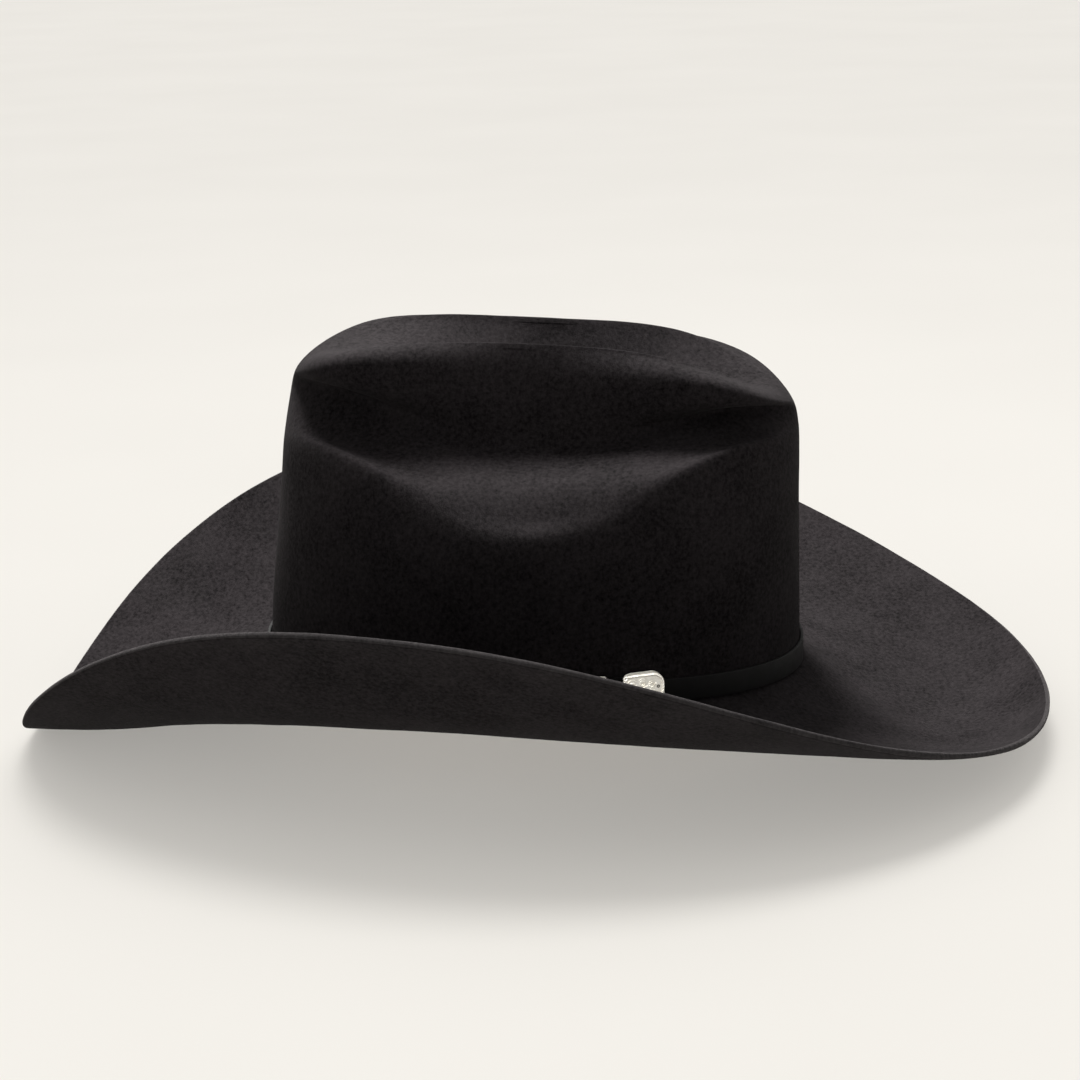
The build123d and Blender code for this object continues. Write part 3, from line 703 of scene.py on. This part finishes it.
def ribbon_strip(path, width, across, thick=0.22):
    """Flat ribbon along a path, its width along another direction."""
    path, across = np.array(path, float), np.array(across, float)
    tangent = np.gradient(path, axis=0)
    normal = np.cross(tangent, across)
    normal /= np.linalg.norm(normal, axis=1, keepdims=True)
    width = np.broadcast_to(width, (len(path),))[:, None]
    section = ((-0.5, 0), (0, thick * 0.4), (0.5, 0), (0.5, -thick), (0, -thick * 0.6), (-0.5, -thick))
    rows = [path + across * width * share + normal * rise for share, rise in section]
    grid = np.stack(rows, 1)
    n, faces = len(rows), []
    for i in range(len(path) - 1):
        a, b = i * n, (i + 1) * n
        faces += [(a + k, a + (k + 1) % n, b + (k + 1) % n, b + k) for k in range(n)]
    faces += [tuple(range(n)), tuple(range((len(path) - 1) * n, len(path) * n))]
    return grid.reshape(-1, 3), faces


bow_y, bow_z = REAR_Y - 2.1, FOOT_HEIGHTS[0] + 7.1
bow = []
for side in (-1, 1):
    a = np.linspace(0.15, 2 * math.pi - 0.15, 30)
    loop = np.stack([side * (5.3 - 4.6 * np.cos(a)), bow_y - 0.55 * np.sin(a) + 0.1, bow_z + 0.6 + 0 * a], 1)
    bow.append(ribbon_strip(loop, 2.6 + 1.7 * np.sin(a / 2) ** 2, (0, 0, 1)))
    s = np.linspace(0, 1, 14)
    tail = np.stack([side * (0.6 + 5.2 * s), bow_y + 0.35 * np.sin(s * 5) + 0.1, bow_z - 0.6 - 5.6 * s], 1)
    bow.append(ribbon_strip(tail, 2.3, np.array((0.72, 0, 0.69 * side))))
knot = np.linspace(0, 2 * math.pi, 22)
knot_path = np.stack([0 * knot, bow_y + 0.95 * np.cos(knot), bow_z + 0.3 + 1.75 * np.sin(knot)], 1)
bow.append(ribbon_strip(knot_path, 2.6, (1, 0, 0)))
make("sweatband_bow_ribbon", bow, replaced=["sweatband_bow"], looks=ribbon)

give_looks("size_label", label_leather)
low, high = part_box("size_label")
label_turn = math.radians(-28)
LEATHER_FACE, LEATHER_HALF_WIDTH, LEATHER_HALF_LENGTH = LEATHER_INSET + LEATHER, 82, 100
label_in = -np.array(((FOOT_HALF_WIDTH - LEATHER_FACE) * math.sin(label_turn) / LEATHER_HALF_WIDTH**2,
                      (FOOT_HALF_LENGTH - LEATHER_FACE) * math.cos(label_turn) / LEATHER_HALF_LENGTH**2, 0))
label_in /= np.linalg.norm(label_in)
label_along = np.array((label_in[1], -label_in[0], 0))
centre = np.array((low + high) / 2) / MM
label_line = outline_points(16, 11, (1.2, 1.2), 1.1, 40)
label_parts = []
for a, b in zip(label_line, np.roll(label_line, -1, 0)):
    corners = (a * 0.98 + b * 0.02, a * 0.3 + b * 0.7)
    ends = [centre + label_along * p[0] + np.array((0, 0, p[1])) + label_in * 0.24 for p in corners]
    label_parts.append(thread(*ends, label_in * 0.12, 0.11, 5))
make("label_stitches", label_parts, looks=tan_thread)

# ---------------------------------------------------------------- lining
LINING_INSET, LINING, SEAM_LEVEL = 2.75, 0.3, 2.0
gather = 0.16 * (np.sin(TURN * 61) + 0.6 * np.sin(TURN * 97 + 1))
side_rows = []
for k, level in enumerate(np.linspace(1.05, SEAM_LEVEL, 24)):
    fade = 0.25 + 0.75 * (k / 23) ** 2
    row = inner_ring(level, LINING_INSET + LINING / 2)
    side_rows.append(inset(row, gather * fade) if k else row)
lining_side = make("lining_side_strip", [lofted(side_rows)], replaced=["lining_side"],
                   looks=satin)

CAP = [
    (66.0, 0, 86, 80, 105.5, 106, 99.5, 107, 108),
    (50.0, 0, 66, 62, 110.5, 110, 104.2, 112, 114),
    (27.0, 0, 44, 42, 112, 111, 107.5, 114, 117),
    (0.0, 0, 26, 25, 112.5, 112, 111, 113, 115),
]


def cap_ring(level, drop=0.0):
    wide, pinch, rear, front, *heights = through(CAP, level)
    return oval_ring(max(wide, 0), pinch, rear, front, heights) - np.array((0, 0, drop))


rim = inner_ring(SEAM_LEVEL + 0.02, LINING_INSET + LINING / 2)
tip_rows = [rim * (1 - s) + cap_ring(0) * s for s in np.linspace(0, 1, 14)[:-1]]
tip_rows += [cap_ring(level) for level in np.linspace(0, 3, 40)]
for k, row in enumerate(tip_rows):
    fade = math.sin(math.pi * min(k / 22, 1.0)) * 0.35
    row[:, 2] += fade * (np.sin(TURN * 27) + 0.5 * np.sin(TURN * 41)) - 0.15
lining_tip = make("lining_tip_oval", [lofted(tip_rows)], replaced=["lining_tip"], looks=satin)

cord_ring = inner_ring(SEAM_LEVEL, LINING_INSET + 2 * LINING + 0.8) + np.array((0, 0, -0.9))
CORD_POINTS, CORD_TWISTS, CORD_RADIUS = 1400, 200, 0.62
cord_path = evenly(*whole_ring(cord_ring), CORD_POINTS)
turn = np.linspace(0, 2 * math.pi, 10, endpoint=False)
twist = np.arange(CORD_POINTS)[:, None] * 2 * math.pi * CORD_TWISTS / CORD_POINTS
ridges = CORD_RADIUS * (1 + 0.13 * np.cos(2 * turn[None] + twist))
make("lining_piping_cord", [tube(cord_path, ridges, 10, closed=True)], replaced=["lining_cord"],
     looks=piping)

film_rows = [cap_ring(level, 0.7) for level in np.linspace(1, 3, 26)]
film_rows += [cap_ring(level, 1.0) for level in np.linspace(3, 1, 26)]
make("tip_protector_film", [lofted(film_rows, True)], replaced=["tip_protector"],
     looks=clear_film)

# ---------------------------------------------------------------- floor, light, camera
floor_mesh = bpy.data.meshes.new("floor")
floor_mesh.from_pydata([(-30, -30, 0), (30, -30, 0), (30, 30, 0), (-30, 30, 0)], [], [(0, 1, 2, 3)])
floor = bpy.data.objects.new("floor", floor_mesh)
bpy.context.scene.collection.objects.link(floor)
floor.location.z = cad_box[0][2] - 0.0002
floor_looks, floor_tree, floor_shader = principled("floor_paper", Roughness=0.85, Specular_IOR_Level=0.2)
floor_stops = [(0.3, (0.84, 0.825, 0.79)), (0.7, (0.86, 0.845, 0.81))]
floor_tone = ramp(floor_tree, noise_node(floor_tree, 3, 2), floor_stops)
floor_tree.links.new(floor_tone, floor_shader.inputs["Base Color"])
floor_mesh.materials.append(floor_looks)

world = bpy.data.worlds.new("studio")
bpy.context.scene.world = world
world.use_nodes = True
world.node_tree.nodes["Background"].inputs["Color"].default_value = (1.0, 0.985, 0.96, 1)
world.node_tree.nodes["Background"].inputs["Strength"].default_value = 0.40


def area_light(name, place, target, size, power, colour=(1, 0.99, 0.97)):
    data = bpy.data.lights.new(name, "AREA")
    data.shape, data.size, data.energy, data.color = "DISK", size, power, colour
    lamp = bpy.data.objects.new(name, data)
    bpy.context.scene.collection.objects.link(lamp)
    lamp.location = place
    lamp.rotation_euler = (Vector(target) - Vector(place)).to_track_quat("-Z", "Y").to_euler()
    return lamp


def sun_light(name, energy, colour=(1, 0.985, 0.965)):
    data = bpy.data.lights.new(name, "SUN")
    data.energy, data.color = energy, colour
    lamp = bpy.data.objects.new(name, data)
    bpy.context.scene.collection.objects.link(lamp)
    return lamp


sky = sun_light("soft_sky", 0.68)
sky.data.angle = math.radians(30)
sky.rotation_euler = (math.radians(4), math.radians(-19), 0)
area_light("overhead", (-0.35, 0.1, 1.4), (0, 0, 0.08), 0.6, 2)
area_light("front_fill", (1.5, -0.3, 0.7), (0, 0, 0.07), 0.8, 0.8)


def only_on(lamp, pieces):
    """The light falls on these pieces and on nothing else."""
    lamp.light_linking.receiver_collection = bpy.data.collections.new("lit_by_" + lamp.name)
    for piece in pieces:
        lamp.light_linking.receiver_collection.objects.link(piece)


# top light on the hat alone, a small one on its metal, and one on the paper that nothing shades
hat_pieces = [piece for piece in bpy.data.objects if piece.type == "MESH" and piece != floor]
only_on(area_light("top_light", (-0.32, -0.14, 0.84), (0, 0, 0.1), 0.3, 22), hat_pieces)
metal = [piece for piece in hat_pieces if silver in list(piece.data.materials)]
only_on(area_light("metal_light", (0.8, 0.1, 0.55), (0.085, 0.04, 0.04), 0.5, 10), metal)
paper_fill = sun_light("paper_fill", 1.25)
only_on(paper_fill, [floor])
paper_fill.light_linking.blocker_collection = paper_fill.light_linking.receiver_collection

azimuth, elevation, distance = math.radians(95.70), math.radians(14.96), 0.98664
level = math.cos(elevation)
back = Vector((math.sin(azimuth) * level, -math.cos(azimuth) * level, math.sin(elevation)))
right = Vector((0, 0, 1)).cross(back).normalized()
upward = back.cross(right)
camera_data = bpy.data.cameras.new("camera")
camera_data.lens, camera_data.sensor_width = 84.2, 36.0
camera_data.clip_end = 100
camera = bpy.data.objects.new("camera", camera_data)
bpy.context.scene.collection.objects.link(camera)
turned = Matrix((right, upward, back)).transposed().to_4x4() @ Matrix.Rotation(math.radians(-1.59), 4, "Z")
camera.matrix_world = Matrix.Translation(Vector((0, 0.00302, 0.07303)) + back * distance) @ turned
bpy.context.scene.camera = camera
bpy.context.scene.view_settings.view_transform = "Standard"
